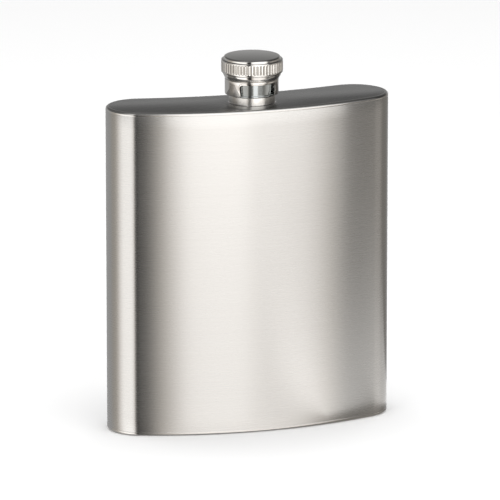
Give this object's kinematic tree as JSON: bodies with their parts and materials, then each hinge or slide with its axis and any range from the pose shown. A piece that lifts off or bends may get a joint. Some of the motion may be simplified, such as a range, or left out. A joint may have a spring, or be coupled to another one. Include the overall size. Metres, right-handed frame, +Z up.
{
  "type": "hip flask",
  "caption": "Curved steel pocket flask with a threaded spout and a knurled screw cap held captive by a hinged hood.",
  "frame": {"origin": "centre of the resting face, at the middle of the flask's overall width and depth", "axes": "+Z up through the body, +X along the wide side, -Y towards the bulging front face"},
  "size_m": [0.095, 0.0286, 0.1232],
  "materials": {
    "brushed_steel": "horizontally brushed stainless steel, satin sheen",
    "satin_steel": "satin stainless plate, darker and smoother than the body",
    "weld_steel": "ground and polished weld bead",
    "polished_steel": "polished stainless steel",
    "turned_steel": "lathe-turned stainless steel with fine rings",
    "silicone": "translucent white silicone",
    "white_plastic": "moulded white plastic"
  },
  "bodies": {
    "flask": {"front_shell": "brushed_steel", "back_shell": "brushed_steel", "left_seam_weld": "weld_steel", "right_seam_weld": "weld_steel", "top_plate": "satin_steel", "bottom_plate": "satin_steel", "top_rim_weld": "weld_steel", "bottom_rim_weld": "weld_steel", "neck_collar": "polished_steel", "neck_weld": "weld_steel", "threaded_spout": "turned_steel", "hinge_bracket": "polished_steel", "hinge_pin": "turned_steel"},
    "hood": {"hinge_hood": "polished_steel"},
    "seal": {"cap_gasket": "silicone"},
    "cap": {"cap_shell": "polished_steel", "cap_sleeve": "turned_steel", "cap_core": "white_plastic"}
  },
  "joints": [
    {"name": "hood_swing", "type": "hinge", "parent": "flask", "child": "hood", "pos_m": [0, 0.0076, 0.1103], "axis": [-1, 0, 0], "range_deg": [0, 130]},
    {"name": "cap_lift", "type": "slide", "parent": "hood", "child": "seal", "axis": [0, 0, 1], "range_m": [0, 0.004]},
    {"name": "cap_turn", "type": "hinge", "parent": "seal", "child": "cap", "pos_m": [0, -0.0019, 0.1152], "axis": [0, 0, 1], "range_deg": [0, 900]}
  ],
  "couplings": [
    {"joint": "cap_lift", "follows": "cap_turn", "m_per_rad": 0.00025465}
  ]
}
